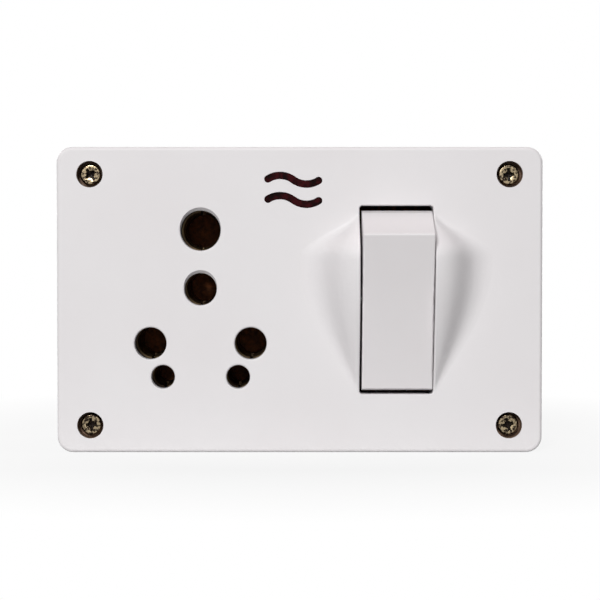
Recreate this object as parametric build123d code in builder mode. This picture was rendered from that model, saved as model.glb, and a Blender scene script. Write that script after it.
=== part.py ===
from build123d import *
import math
import os
from typing import NamedTuple

# Surface-mounting switch and socket unit: a six-hole socket beside a piano-type rocker switch.
# The wall is the plane Y = 0 and the front faces -Y, with X to the right and Z up. The origin is the
# centre of the face that lies on the wall. Heights run from the wall towards the front, in mm.

os.makedirs("parts", exist_ok=True)

# Enclosure
plate_width = 123.0
plate_height = 77.4
corner_radius = 4.0
box_depth = 31.0
cover_depth = 13.0
face_thickness = 2.6
side_wall = 2.4
back_wall = 2.4
front_edge_radius = 0.9
back_edge_radius = 0.8
lip_height = 2.0
lip_thickness = 1.2
lip_clearance = 0.2

# Wall fixing holes and cable knock-outs of the box
wall_hole_pitch = 60.3
wall_hole_radius = 2.25
wall_pad_radius = 5.0
wall_pad_height = 1.5
knockout_pitch = 56.0
knockout_radius = 10.0
knockout_groove = 0.8
knockout_groove_depth = 1.2

# Screws that hold the cover to the box
screw_edge_x = 8.4
screw_edge_z = 6.9
screw_radius = 1.5
screw_length = 22.0
screw_head_radius = 2.7
screw_head_height = 2.1
screw_head_round = 1.3
screw_head_depth = 2.2
screw_head_clearance = 0.65
screw_hole_clearance = 0.2
thread_clearance = 0.05
thread_end_room = 1.2
post_radius = 5.0
cross_span = 3.1
cross_width = 0.8
cross_depth = 1.2
cross_turns = {(-1, 1): 35.0, (1, 1): 4.0, (-1, -1): 8.0, (1, -1): 15.0}

# Pin pitches and radii of the larger and the smaller plug, and the holes in the plate
socket_x = -25.1
large_line_z = -11.0
small_line_z = -19.5
large_pin_pitch = 25.4
large_earth_rise = 28.58
small_pin_pitch = 19.05
small_earth_rise = 22.23
large_pin_radius = 3.53
large_earth_pin_radius = 4.355
small_pin_radius = 2.54
small_earth_pin_radius = 3.53
large_hole_radius = 4.05
large_earth_hole_radius = 5.1
small_hole_radius = 2.98
small_earth_hole_radius = 4.1
hole_edge_radius = 0.45
mouth_rise = 0.65
mouth_depth = 1.1
mouth_margin = 0.1

# Brass contacts
sleeve_clearance = 0.03
sleeve_wall = 0.9
sleeve_depth = 9.6
sleeve_lead_in = 0.5
slit_width = 0.8
slit_length = 9.0
strip_thickness = 1.2
strip_width = 6.0
grip_ring_thickness = 0.45
grip_ring_height = 1.8
grip_ring_drop = 1.5
grip_ring_clearance = 0.02
grip_ring_gap = 2.0

# Terminal blocks and their clamp screws
terminal_offset = 14.4
neutral_terminal_z = 3.0
live_terminal_z = -25.0
terminal_size = 8.0
terminal_reach = 7.5
terminal_clearance = 0.3
wire_hole_radius = 2.0
clamp_screw_radius = 1.7
clamp_screw_reach = 4.7
clamp_head_radius = 3.0
clamp_head_height = 2.2
clamp_slot_width = 0.8
clamp_slot_depth = 1.0

# Mechanism base
base_x = -1.5
base_width = 98.0
base_height = 63.0
base_corner = 10.0
base_gap = 0.5
floor_depth = 25.0
floor_thickness = 3.0
well_clearance = 1.25
well_wall = 1.6
notch_clearance = 0.3
pin_tip_clearance = 0.4
pin_cup_depth = 1.6
pin_cup_wall = 1.2
base_screw_pitch_x = 90.0
base_screw_pitch_z = 47.0
base_screw_radius = 1.45
base_screw_length = 14.0
base_screw_head_radius = 2.7
base_screw_head_height = 1.9
base_post_radius = 3.2
post_clearance = 0.6

# Rocker and its opening
switch_x = 24.5
opening_width = 18.7
opening_length = 47.8
opening_corner = 0.8
rim_wall = 1.6
rim_depth = 6.0
side_gap = 0.4
side_shift = 0.2
head_gap = 1.2
tail_gap = 0.75
pivot_depth = 5.0
ridge_z = 16.6
ridge_rise = 11.0
tail_rise = 0.9
head_rise = 0.6
face_dish = 0.4
under_drop = 3.2
rocker_travel = 14.0
rocker_wall = 2.0
ridge_radius = 0.5
rocker_edge_radius = 0.4

# Cheeks that rise from the plate beside the rocker
cheek_rise = 8.8
cheek_spread = 14.6
cheek_least_spread = 1.4
cheek_top_z = 24.8
cheek_fade_z = 24.2
cheek_peak_z = 10.2
cheek_bottom_z = -24.4
cheek_taper = 1.15
cheek_root = 1.2
cheek_border = 0.3
cheek_inset = 1.0
cheek_stations = 25
cheek_foot_pull = 0.56
cheek_crest_pull = 0.6
opening_edge_radius = 0.35

# Pivot pin and its bearings
pivot_pin_radius = 1.5
pivot_clearance = 0.05
hub_radius = 3.2
ear_thickness = 3.2
ear_half_length = 4.0
pivot_pin_inset = 0.2
keeper_clearance = 0.1
keeper_width = 2.4
keeper_side_clearance = 0.4

# Plunger, its tube in the rocker and its spring
tube_radius = 3.7
tube_bore_radius = 2.5
tube_bore_start = 3.6
tube_end = 11.0
plunger_clearance = 0.1
plunger_head_start = 8.0
plunger_head_end = 12.0
plunger_nose_radius = 1.6
plunger_gap = 0.05
spring_wire_radius = 0.25
spring_turns = 4.0
spring_side_clearance = 0.2
spring_end_clearance = 0.02

# See-saw contact
bar_length = 26.0
bar_width = 7.0
bar_thickness = 1.6
bar_swing = 12.0
fulcrum_radius = 0.6
fulcrum_clearance = 0.05
tip_reach = 11.2
tip_radius = 1.9
tip_shank_radius = 1.0
moving_tip_height = 0.9
fixed_tip_height = 0.5
contact_gap = 0.05
guide_clearance = 0.5
guide_thickness = 1.6
guide_end_gap = 1.0
guide_height = 8.0

# Strip from the switch to the socket's line contact
link_start_z = 8.5
link_gap = 1.55
lane_offset = 15.4
link_end_offset = 8.9
tongue_end_offset = 12.9
rivet_radius = 1.2
rivet_clearance = 0.05
rivet_head_radius = 2.2
rivet_head_height = 0.6

# Indicator
wave_x = -1.6
wave_edge = 10.85
wave_pitch = 5.1
wave_stroke = 1.9
wave_reach = 6.4
wave_crest_x = 3.3
wave_crest = 1.1
wave_end = 0.2
lens_margin_x = 3.0
lens_margin_z = 2.0
lens_thickness = 1.4
lens_rib_height = 2.4
lens_clearance = 0.1
peg_radius = 0.9
peg_height = 2.2
peg_edge = 1.7
lamp_gap = 4.4
lamp_radius = 2.6
lamp_length = 12.0
lamp_neck_radius = 1.0
lamp_neck_length = 1.2
cradle_pitch = 7.0
cradle_thickness = 1.6
cradle_width = 6.6
cradle_clearance = 0.1
resistor_radius = 1.2
resistor_length = 6.4
resistor_gap = 2.5
lead_radius = 0.4
lead_bend = 1.2
lead_clearance = 0.05
lead_reach = 2.0
lead_gap = 1.0

# Levels above the wall, places and sizes that follow from the sizes above
front = box_depth + cover_depth
underside = front - face_thickness
floor_height = front - floor_depth
well_floor = floor_height + strip_thickness
strap_top = well_floor + strip_thickness
sleeve_top = front - sleeve_depth
base_top = underside - base_gap
base_back = floor_height - floor_thickness
screw_seat = front - screw_head_depth - screw_head_height
pivot = front - pivot_depth
rocker_width = opening_width - 2 * side_gap
rocker_x = switch_x + side_shift
head_radius = opening_length / 2 - head_gap
tail_radius = opening_length / 2 - tail_gap
half_travel = rocker_travel / 2
bar_tilt = bar_swing / 2
terminal_back = base_back - terminal_reach
wire_hole_level = base_back - wire_hole_radius
lamp_height = underside - lens_thickness - lamp_gap - lamp_radius
screw_pitch_x = plate_width - 2 * screw_edge_x
screw_pitch_z = plate_height - 2 * screw_edge_z
terminal_x = socket_x - terminal_offset
wave_z = plate_height / 2 - wave_edge
lip_width = plate_width - 2 * (side_wall + lip_clearance)
lip_span = plate_height - 2 * (side_wall + lip_clearance)
cheek_width = opening_width + 2 * (cheek_least_spread + cheek_spread + cheek_border - cheek_inset)
cheek_length = cheek_top_z - cheek_bottom_z
cheek_middle_z = (cheek_top_z + cheek_bottom_z) / 2
closed_drop = (
    tip_reach * math.sin(math.radians(bar_tilt))
    + moving_tip_height * math.cos(math.radians(bar_tilt))
    + tip_radius * math.sin(math.radians(bar_tilt))
)
fulcrum = floor_height + strip_thickness + fixed_tip_height + contact_gap + closed_drop
stop_top = fulcrum - (tip_reach + tip_radius) * math.sin(math.radians(bar_tilt)) - contact_gap
plunger_tip = pivot - fulcrum - bar_thickness - plunger_gap
notch = strip_width + 2 * notch_clearance
keeper_pitch = opening_width + ear_thickness
lens_width = 2 * (wave_reach + wave_stroke / 2 + lens_margin_x)
lens_span = wave_pitch + wave_stroke + 2 * wave_crest + 2 * lens_margin_z
peg_pitch = lens_width - 2 * peg_edge
lamp_end = lamp_length / 2
resistor_x = wave_x + lamp_end + resistor_gap + resistor_length / 2
resistor_end = resistor_x + resistor_length / 2


class PinWay(NamedTuple):
    """The centre of a pin's way in, the pin's radius and the radius of the hole in the plate."""

    x: float
    z: float
    pin_radius: float
    hole_radius: float


line_ways = [
    PinWay(socket_x + large_pin_pitch / 2, large_line_z, large_pin_radius, large_hole_radius),
    PinWay(socket_x + small_pin_pitch / 2, small_line_z, small_pin_radius, small_hole_radius),
]
neutral_ways = [
    PinWay(socket_x - large_pin_pitch / 2, large_line_z, large_pin_radius, large_hole_radius),
    PinWay(socket_x - small_pin_pitch / 2, small_line_z, small_pin_radius, small_hole_radius),
]
earth_ways = [
    PinWay(socket_x, large_line_z + large_earth_rise, large_earth_pin_radius, large_earth_hole_radius),
    PinWay(socket_x, small_line_z + small_earth_rise, small_earth_pin_radius, small_earth_hole_radius),
]
pin_ways = line_ways + neutral_ways + earth_ways
earth_terminal_z = earth_ways[0].z
corner_places = [
    (side * screw_pitch_x / 2, end * screw_pitch_z / 2) for side, end in cross_turns
]
terminal_places = [
    (terminal_x, earth_terminal_z),
    (terminal_x, neutral_terminal_z),
    (switch_x, live_terminal_z),
]
link_turn_z = wave_z - (cradle_width + strip_width) / 2 - link_gap
guide_half_length = link_turn_z - strip_width / 2 - guide_end_gap
link_lane_x = line_ways[0].x + lane_offset
link_end_x = line_ways[0].x + link_end_offset
tongue_end_x = line_ways[0].x + tongue_end_offset
rivet_x = (link_end_x + tongue_end_x) / 2
rivet_z = line_ways[0].z


def level(height):
    """The plane at this height above the wall, seen from the front: X across, Z up."""
    return Plane.XZ.offset(height)


def side_view(x):
    """The upright plane across the wall at this x: Z across, height up."""
    return Plane(origin=(x, 0, 0), x_dir=(0, 0, 1), z_dir=(1, 0, 0))


def cross_view(x, z):
    """The plane square to the wall at this z: X across from the given x, height up."""
    return Plane(origin=(x, 0, z), x_dir=(1, 0, 0), z_dir=(0, 0, -1))


def bore_radius(way):
    """Inner radius of a pin's sleeve."""
    return way.pin_radius + sleeve_clearance


def sleeve_radius(way):
    """Outer radius of a pin's sleeve."""
    return bore_radius(way) + sleeve_wall


def joined_sleeves(height, ways, margin=0.0):
    """The outline round a contact's two sleeves, this far outside them."""
    with BuildSketch(level(height)) as outline:
        for way in ways:
            with Locations((way.x, way.z)):
                Circle(sleeve_radius(way) + margin)
        make_hull()
    return outline.sketch


def wave_outline(height, stroke):
    """The two wave-shaped strokes of the indicator."""
    with BuildLine() as wave:
        ThreePointArc((-wave_reach, wave_end), (-wave_crest_x, wave_crest), (0, 0))
        ThreePointArc((0, 0), (wave_crest_x, -wave_crest), (wave_reach, -wave_end))
    with BuildSketch(level(height)) as strokes:
        with Locations((wave_x, wave_z)):
            with GridLocations(0, wave_pitch, 1, 2):
                SlotArc(wave.wire(), stroke)
    return strokes.sketch


def polar(angle, radius):
    """A point at this angle and radius from the pivot, in the rocker's side view."""
    return (radius * math.cos(math.radians(angle)), pivot + radius * math.sin(math.radians(angle)))


def rocker_outline(drop, inset=0.0):
    """Side view of the rocker at rest, closed by a flat underside this far behind the pivot."""
    head_under = half_travel - math.degrees(math.asin(drop / head_radius))
    tail_under = 180 + half_travel + math.degrees(math.asin(drop / tail_radius))
    head = math.degrees(math.asin((pivot_depth + head_rise) / head_radius))
    tail = 180 - math.degrees(math.asin((pivot_depth + tail_rise) / tail_radius))
    ridge = (ridge_z, front + ridge_rise)
    with BuildSketch(side_view(rocker_x)) as outline:
        with BuildLine():
            Line(ridge, polar(head, head_radius))
            CenterArc((0, pivot), head_radius, head, head_under - head)
            Line(polar(head_under, head_radius), polar(tail_under, tail_radius))
            CenterArc((0, pivot), tail_radius, tail_under, tail - tail_under)
            SagittaArc(polar(tail, tail_radius), ridge, -face_dish)
        make_face()
        if inset:
            offset(amount=-inset)
    return outline.sketch


def cheek_share(z):
    """Share of the cheeks' full rise and spread at this z."""
    if z < cheek_peak_z:
        quarter_turn = math.pi / 2 * (z - cheek_bottom_z) / (cheek_peak_z - cheek_bottom_z)
        return math.sin(quarter_turn) ** cheek_taper
    past = min(1.0, (z - cheek_peak_z) / (cheek_fade_z - cheek_peak_z))
    return 1 - past**3 * (6 * past**2 - 15 * past + 10)


def tube_plane(distance):
    """The plane across the plunger's tube, this far behind the pivot, with the rocker at rest."""
    lean = math.radians(half_travel)
    along = Vector(0, math.cos(lean), math.sin(lean))
    return Plane(origin=Vector(switch_x, -pivot, 0) + along * distance, x_dir=(1, 0, 0), z_dir=along)


def is_bore(edge, ways):
    """Whether a round edge is the mouth of one of these sleeves' bores."""
    return any(abs(edge.radius - bore_radius(way)) < sleeve_clearance for way in ways)


def strap_and_sleeves(ways):
    """A contact's strap with its two split sleeves, without a tongue."""
    with BuildPart() as contact:
        extrude(joined_sleeves(well_floor, ways), amount=strip_thickness)
        with BuildSketch(level(strap_top)):
            for way in ways:
                with Locations((way.x, way.z)):
                    Circle(sleeve_radius(way))
        extrude(amount=sleeve_top - strap_top)
        with BuildSketch(level(well_floor)):
            for way in ways:
                with Locations((way.x, way.z)):
                    Circle(bore_radius(way))
        extrude(amount=sleeve_top - well_floor, mode=Mode.SUBTRACT)
        mouths = contact.faces().group_by(Axis.Y)[0].edges().filter_by(GeomType.CIRCLE)
        chamfer([edge for edge in mouths if is_bore(edge, ways)], sleeve_lead_in)
        with BuildSketch(level(sleeve_top)):
            for way in ways:
                with Locations((way.x, way.z)):
                    Rectangle(slit_width, 2 * sleeve_radius(way) + sleeve_wall)
        extrude(amount=-slit_length, mode=Mode.SUBTRACT)
    return contact.part


def terminal_block(x, z, top):
    """A terminal block up to this height, with its wire hole and the clamp screw's hole."""
    with BuildPart() as block:
        with BuildSketch(level(terminal_back)):
            with Locations((x, z)):
                Rectangle(terminal_size, terminal_size)
        extrude(amount=top - terminal_back)
        with BuildSketch(cross_view(x, z)):
            with Locations((0, wire_hole_level)):
                Circle(wire_hole_radius)
        extrude(amount=terminal_size / 2, both=True, mode=Mode.SUBTRACT)
        with BuildSketch(level(terminal_back)):
            with Locations((x, z)):
                Circle(clamp_screw_radius + thread_clearance)
        extrude(amount=wire_hole_level - terminal_back, mode=Mode.SUBTRACT)
    return block.part


# Cheeks: one smooth saddle over the opening's place, with a flat border that lies in the plate's face
with BuildPart() as cheeks:
    for station in range(cheek_stations + 1):
        station_z = cheek_bottom_z + cheek_length * station / cheek_stations
        crest = front + cheek_rise * cheek_share(station_z)
        flank = cheek_least_spread + cheek_spread * cheek_share(station_z)
        edge_x = opening_width / 2 - cheek_inset
        with BuildSketch(cross_view(switch_x, station_z)):
            with BuildLine():
                Polyline(
                    (-edge_x - flank, front),
                    (-cheek_width, front),
                    (-cheek_width, front - 2 * cheek_root),
                    (cheek_width, front - 2 * cheek_root),
                    (cheek_width, front),
                    (edge_x + flank, front),
                )
                Bezier(
                    (edge_x + flank, front),
                    (edge_x + flank * (1 - cheek_foot_pull), front),
                    (edge_x + flank * cheek_crest_pull, crest),
                    (edge_x, crest),
                )
                Line((edge_x, crest), (-edge_x, crest))
                Bezier(
                    (-edge_x, crest),
                    (-edge_x - flank * cheek_crest_pull, crest),
                    (-edge_x - flank * (1 - cheek_foot_pull), front),
                    (-edge_x - flank, front),
                )
            make_face()
    loft()
    with BuildSketch(level(front - cheek_root)):
        with Locations((switch_x, cheek_middle_z)):
            Rectangle(cheek_width, cheek_length)
    extrude(amount=cheek_root + 2 * cheek_rise, mode=Mode.INTERSECT)

# Front cover: plate, skirt, posts, pin holes, rocker opening with its cheeks, indicator slots
with BuildPart() as front_cover:
    with BuildSketch(level(box_depth)):
        RectangleRounded(plate_width, plate_height, corner_radius)
    extrude(amount=cover_depth)
    fillet(front_cover.faces().sort_by(Axis.Y)[0].edges(), front_edge_radius)
    with BuildSketch(level(box_depth)):
        RectangleRounded(
            plate_width - 2 * side_wall, plate_height - 2 * side_wall, corner_radius - side_wall
        )
    extrude(amount=cover_depth - face_thickness, mode=Mode.SUBTRACT)
    with BuildSketch(level(front)):
        with Locations((switch_x, cheek_middle_z)):
            Rectangle(cheek_width, cheek_length)
    extrude(amount=-cheek_root, mode=Mode.SUBTRACT)
    add(cheeks.part)
    with BuildSketch(level(underside)):
        for way in pin_ways:
            with Locations((way.x, way.z)):
                Circle(way.hole_radius)
    extrude(amount=face_thickness, mode=Mode.SUBTRACT)
    hole_rims = [
        edge
        for edge in front_cover.edges().filter_by(GeomType.CIRCLE)
        if abs(edge.arc_center.Y + front) < front_edge_radius / 10
        and any(abs(edge.radius - way.hole_radius) < sleeve_clearance for way in pin_ways)
    ]
    fillet(hole_rims, hole_edge_radius)
    # Slanted lead-in above each earth hole
    for way in earth_ways:
        with BuildSketch(level(front - mouth_depth)):
            with Locations((way.x, way.z)):
                Circle(way.hole_radius - mouth_margin)
        with BuildSketch(level(front)):
            with Locations((way.x, way.z + mouth_rise)):
                Circle(way.hole_radius + mouth_margin)
        loft(mode=Mode.SUBTRACT)
    with BuildSketch(level(box_depth)):
        with Locations(*corner_places):
            Circle(post_radius)
    extrude(amount=cover_depth - face_thickness)
    with BuildSketch(level(floor_height)):
        with Locations((base_x, 0)):
            with GridLocations(base_screw_pitch_x, base_screw_pitch_z, 2, 2):
                Circle(base_post_radius)
    extrude(amount=underside - floor_height)
    with BuildSketch(level(floor_height)):
        with Locations((base_x, 0)):
            with GridLocations(base_screw_pitch_x, base_screw_pitch_z, 2, 2):
                Circle(base_screw_radius + thread_clearance)
    extrude(amount=base_screw_length, mode=Mode.SUBTRACT)
    with Locations(level(front)):
        with Locations(*corner_places):
            CounterBoreHole(
                screw_radius + screw_hole_clearance,
                screw_head_radius + screw_head_clearance,
                front - screw_seat,
            )
    with BuildSketch(level(underside - rim_depth)):
        with Locations((switch_x, 0)):
            RectangleRounded(
                opening_width + 2 * rim_wall, opening_length + 2 * rim_wall, opening_corner + rim_wall
            )
            Rectangle(opening_width + 2 * ear_thickness, 2 * ear_half_length)
    extrude(amount=rim_depth)
    with BuildSketch(level(underside - rim_depth)):
        with Locations((switch_x, 0)):
            RectangleRounded(opening_width, opening_length, opening_corner)
    extrude(amount=rim_depth + face_thickness + 2 * cheek_rise, mode=Mode.SUBTRACT)
    opening_edges = front_cover.edges().filter_by(
        lambda edge: (edge @ 0.5).Y < -underside
        and all(
            abs(end.X - switch_x) < opening_width / 2 + cheek_border
            and abs(end.Z) < opening_length / 2 + cheek_border
            for end in (edge @ 0, edge @ 1)
        )
    )
    fillet(opening_edges, opening_edge_radius)
    with BuildSketch(side_view(switch_x)):
        with Locations((0, pivot)):
            Circle(pivot_pin_radius + pivot_clearance)
            Rectangle(
                2 * (pivot_pin_radius + pivot_clearance),
                pivot - underside + rim_depth,
                align=(Align.CENTER, Align.MAX),
            )
    extrude(amount=opening_width / 2 + ear_thickness, both=True, mode=Mode.SUBTRACT)
    extrude(wave_outline(underside, wave_stroke), amount=face_thickness, mode=Mode.SUBTRACT)
    with BuildSketch(level(underside)):
        with Locations((wave_x, wave_z)):
            with GridLocations(peg_pitch, 0, 2, 1):
                Circle(peg_radius)
    extrude(amount=-peg_height)
front_cover.part.label = "front_cover"
export_step(front_cover.part, "parts/front_cover.step")

# Box on the wall, with posts for the cover screws and scored cable knock-outs
with BuildPart() as back_box:
    with BuildSketch(level(0)):
        RectangleRounded(plate_width, plate_height, corner_radius)
    extrude(amount=box_depth)
    fillet(back_box.faces().sort_by(Axis.Y)[-1].edges(), back_edge_radius)
    with BuildSketch(level(back_wall)):
        RectangleRounded(
            plate_width - 2 * side_wall, plate_height - 2 * side_wall, corner_radius - side_wall
        )
    extrude(amount=box_depth - back_wall, mode=Mode.SUBTRACT)
    with BuildSketch(level(box_depth - lip_height)):
        RectangleRounded(
            plate_width - 2 * side_wall, plate_height - 2 * side_wall, corner_radius - side_wall
        )
        Rectangle(lip_width - 2 * lip_thickness, lip_span - 2 * lip_thickness, mode=Mode.SUBTRACT)
    extrude(amount=lip_height)
    with BuildSketch(level(box_depth)):
        RectangleRounded(lip_width, lip_span, corner_radius - side_wall - lip_clearance)
        Rectangle(lip_width - 2 * lip_thickness, lip_span - 2 * lip_thickness, mode=Mode.SUBTRACT)
        with Locations(*corner_places):
            Circle(post_radius + lip_clearance, mode=Mode.SUBTRACT)
    extrude(amount=lip_height)
    with BuildSketch(level(back_wall)):
        with Locations(*corner_places):
            Circle(post_radius)
    extrude(amount=box_depth - back_wall)
    with BuildSketch(level(box_depth)):
        with Locations(*corner_places):
            Circle(screw_radius + thread_clearance)
    extrude(amount=screw_seat - screw_length - thread_end_room - box_depth, mode=Mode.SUBTRACT)
    with BuildSketch(level(back_wall)):
        with GridLocations(wall_hole_pitch, 0, 2, 1):
            Circle(wall_pad_radius)
    extrude(amount=wall_pad_height)
    with BuildSketch(level(0)):
        with GridLocations(wall_hole_pitch, 0, 2, 1):
            Circle(wall_hole_radius)
    extrude(amount=back_wall + wall_pad_height, mode=Mode.SUBTRACT)
    for facing in (1, -1):
        outside = Plane(origin=(0, -box_depth / 2, facing * plate_height / 2), z_dir=(0, 0, facing))
        with BuildSketch(outside):
            with GridLocations(knockout_pitch, 0, 2, 1):
                Circle(knockout_radius)
                Circle(knockout_radius - knockout_groove, mode=Mode.SUBTRACT)
        extrude(amount=-knockout_groove_depth, mode=Mode.SUBTRACT)
back_box.part.label = "back_box"
export_step(back_box.part, "parts/back_box.step")

# Four pan-head screws with cross recesses, each left at its own turn
with BuildPart() as cover_screws:
    with BuildSketch(level(screw_seat)):
        with Locations(*corner_places):
            Circle(screw_head_radius)
    extrude(amount=screw_head_height)
    fillet(cover_screws.faces().group_by(Axis.Y)[0].edges(), screw_head_round)
    with BuildSketch(level(screw_seat)):
        with Locations(*corner_places):
            Circle(screw_radius)
    extrude(amount=-screw_length)
    with BuildSketch(level(screw_seat + screw_head_height)):
        for place, turn in zip(corner_places, cross_turns.values()):
            with Locations(Location(place, turn)):
                Rectangle(cross_span, cross_width)
                Rectangle(cross_width, cross_span)
    extrude(amount=-cross_depth, mode=Mode.SUBTRACT)
cover_screws.part.label = "cover_screws"
export_step(cover_screws.part, "parts/cover_screws.step")

# Phenolic base: floor, a well round each pair of sleeves, the switch's guides and the lamp's cradle
with BuildPart() as mechanism_base:
    with BuildSketch(level(base_back)):
        with Locations((base_x, 0)):
            RectangleRounded(base_width, base_height, base_corner)
        with Locations(*corner_places):
            Circle(post_radius + post_clearance, mode=Mode.SUBTRACT)
    extrude(amount=floor_thickness)
    with BuildSketch(level(base_back)):
        with Locations((earth_ways[0].x, earth_ways[0].z)):
            Circle(bore_radius(earth_ways[0]) + pin_tip_clearance + pin_cup_wall)
    extrude(amount=-pin_cup_depth - pin_cup_wall)
    for ways in (line_ways, neutral_ways, earth_ways):
        extrude(joined_sleeves(floor_height, ways, well_clearance + well_wall), amount=base_top - floor_height)
    for ways in (line_ways, neutral_ways, earth_ways):
        extrude(
            joined_sleeves(well_floor, ways, well_clearance),
            amount=base_top - well_floor,
            mode=Mode.SUBTRACT,
        )
    # Notches where the contacts' tongues leave their wells
    with BuildSketch(level(well_floor)):
        with Locations((line_ways[0].x, line_ways[0].z)):
            Rectangle(tongue_end_x - line_ways[0].x, notch, align=(Align.MIN, Align.CENTER))
        with Locations((terminal_x, neutral_ways[0].z)):
            Rectangle(notch, neutral_terminal_z - neutral_ways[0].z, align=(Align.CENTER, Align.MIN))
        with Locations((terminal_x, earth_terminal_z)):
            Rectangle(socket_x - terminal_x, notch, align=(Align.MIN, Align.CENTER))
    extrude(amount=strip_thickness + notch_clearance, mode=Mode.SUBTRACT)
    # The longest pin's cup, windows for the terminal blocks and the pocket for the rivet's head
    with BuildSketch(level(base_back - pin_cup_depth)):
        with Locations((earth_ways[0].x, earth_ways[0].z)):
            Circle(bore_radius(earth_ways[0]) + pin_tip_clearance)
    extrude(amount=well_floor - base_back + pin_cup_depth, mode=Mode.SUBTRACT)
    with BuildSketch(level(base_back)):
        with Locations(*terminal_places):
            Rectangle(terminal_size + 2 * terminal_clearance, terminal_size + 2 * terminal_clearance)
        with Locations((base_x, 0)):
            with GridLocations(base_screw_pitch_x, base_screw_pitch_z, 2, 2):
                Circle(base_screw_radius + screw_hole_clearance)
    extrude(amount=well_floor - base_back, mode=Mode.SUBTRACT)
    with BuildSketch(level(floor_height)):
        with Locations((rivet_x, rivet_z)):
            Circle(rivet_head_radius + rivet_clearance)
    extrude(amount=-rivet_head_height - rivet_clearance, mode=Mode.SUBTRACT)
    # Guides beside the see-saw, and keepers that close the pivot's bearings
    with BuildSketch(level(floor_height)):
        with Locations((switch_x, 0)):
            with GridLocations(bar_width + 2 * guide_clearance + guide_thickness, 0, 2, 1):
                Rectangle(guide_thickness, 2 * guide_half_length)
    extrude(amount=guide_height)
    with BuildSketch(level(floor_height)):
        with Locations((switch_x, 0)):
            with GridLocations(keeper_pitch, 0, 2, 1):
                Rectangle(keeper_width, 2 * ear_half_length)
    extrude(amount=underside - rim_depth - keeper_side_clearance - floor_height)
    with BuildSketch(level(floor_height)):
        with Locations((switch_x, 0)):
            with GridLocations(keeper_pitch, 0, 2, 1):
                Rectangle(keeper_width, 2 * (pivot_pin_radius + pivot_clearance - keeper_side_clearance))
    extrude(amount=pivot - pivot_pin_radius - keeper_clearance - floor_height)
    # Cradle for the lamp
    with BuildSketch(level(floor_height)):
        with Locations((wave_x, wave_z)):
            with GridLocations(cradle_pitch, 0, 2, 1):
                Rectangle(cradle_thickness, cradle_width)
    extrude(amount=lamp_height - floor_height)
    with BuildSketch(side_view(wave_x)):
        with Locations((wave_z, lamp_height)):
            Circle(lamp_radius + cradle_clearance)
    extrude(amount=cradle_pitch / 2 + cradle_thickness, both=True, mode=Mode.SUBTRACT)
mechanism_base.part.label = "mechanism_base"
export_step(mechanism_base.part, "parts/mechanism_base.step")

# Four screws from behind, through the base into the cover's posts
with BuildPart() as base_screws:
    with BuildSketch(level(base_back)):
        with Locations((base_x, 0)):
            with GridLocations(base_screw_pitch_x, base_screw_pitch_z, 2, 2):
                Circle(base_screw_head_radius)
    extrude(amount=-base_screw_head_height)
    fillet(base_screws.faces().group_by(Axis.Y)[-1].edges(), base_screw_head_height / 2)
    with BuildSketch(level(base_back)):
        with Locations((base_x, 0)):
            with GridLocations(base_screw_pitch_x, base_screw_pitch_z, 2, 2):
                Circle(base_screw_radius)
    extrude(amount=base_screw_length)
    with BuildSketch(level(base_back - base_screw_head_height)):
        with Locations((base_x, 0)):
            with GridLocations(base_screw_pitch_x, base_screw_pitch_z, 2, 2):
                Rectangle(cross_span, cross_width)
                Rectangle(cross_width, cross_span)
    extrude(amount=cross_depth, mode=Mode.SUBTRACT)
base_screws.part.label = "base_screws"
export_step(base_screws.part, "parts/base_screws.step")

# Line contact, with a tongue that the strip from the switch is riveted to
with BuildPart() as line_contact:
    add(strap_and_sleeves(line_ways))
    with BuildSketch(level(well_floor)):
        with Locations((line_ways[0].x, line_ways[0].z)):
            Rectangle(tongue_end_x - line_ways[0].x, strip_width, align=(Align.MIN, Align.CENTER))
        with Locations((rivet_x, rivet_z)):
            Circle(rivet_radius + rivet_clearance, mode=Mode.SUBTRACT)
        with Locations((line_ways[0].x, line_ways[0].z)):
            Circle(bore_radius(line_ways[0]), mode=Mode.SUBTRACT)
    extrude(amount=strip_thickness)
line_contact.part.label = "line_contact"
export_step(line_contact.part, "parts/line_contact.step")

# Neutral contact, with its terminal block
with BuildPart() as neutral_contact:
    add(strap_and_sleeves(neutral_ways))
    with BuildSketch(level(well_floor)):
        with Locations((terminal_x, neutral_ways[0].z)):
            Rectangle(
                strip_width,
                neutral_terminal_z + terminal_size / 2 - neutral_ways[0].z,
                align=(Align.CENTER, Align.MIN),
            )
        with Locations((neutral_ways[0].x, neutral_ways[0].z)):
            Circle(bore_radius(neutral_ways[0]), mode=Mode.SUBTRACT)
    extrude(amount=strip_thickness)
    add(terminal_block(terminal_x, neutral_terminal_z, well_floor))
neutral_contact.part.label = "neutral_contact"
export_step(neutral_contact.part, "parts/neutral_contact.step")

# Earth contact, with its terminal block
with BuildPart() as earth_contact:
    add(strap_and_sleeves(earth_ways))
    with BuildSketch(level(well_floor)):
        with Locations((terminal_x - terminal_size / 2, earth_terminal_z)):
            Rectangle(
                socket_x - terminal_x + terminal_size / 2,
                strip_width,
                align=(Align.MIN, Align.CENTER),
            )
        with Locations((earth_ways[0].x, earth_ways[0].z)):
            Circle(bore_radius(earth_ways[0]), mode=Mode.SUBTRACT)
    extrude(amount=strip_thickness)
    add(terminal_block(terminal_x, earth_terminal_z, well_floor))
earth_contact.part.label = "earth_contact"
export_step(earth_contact.part, "parts/earth_contact.step")

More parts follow.
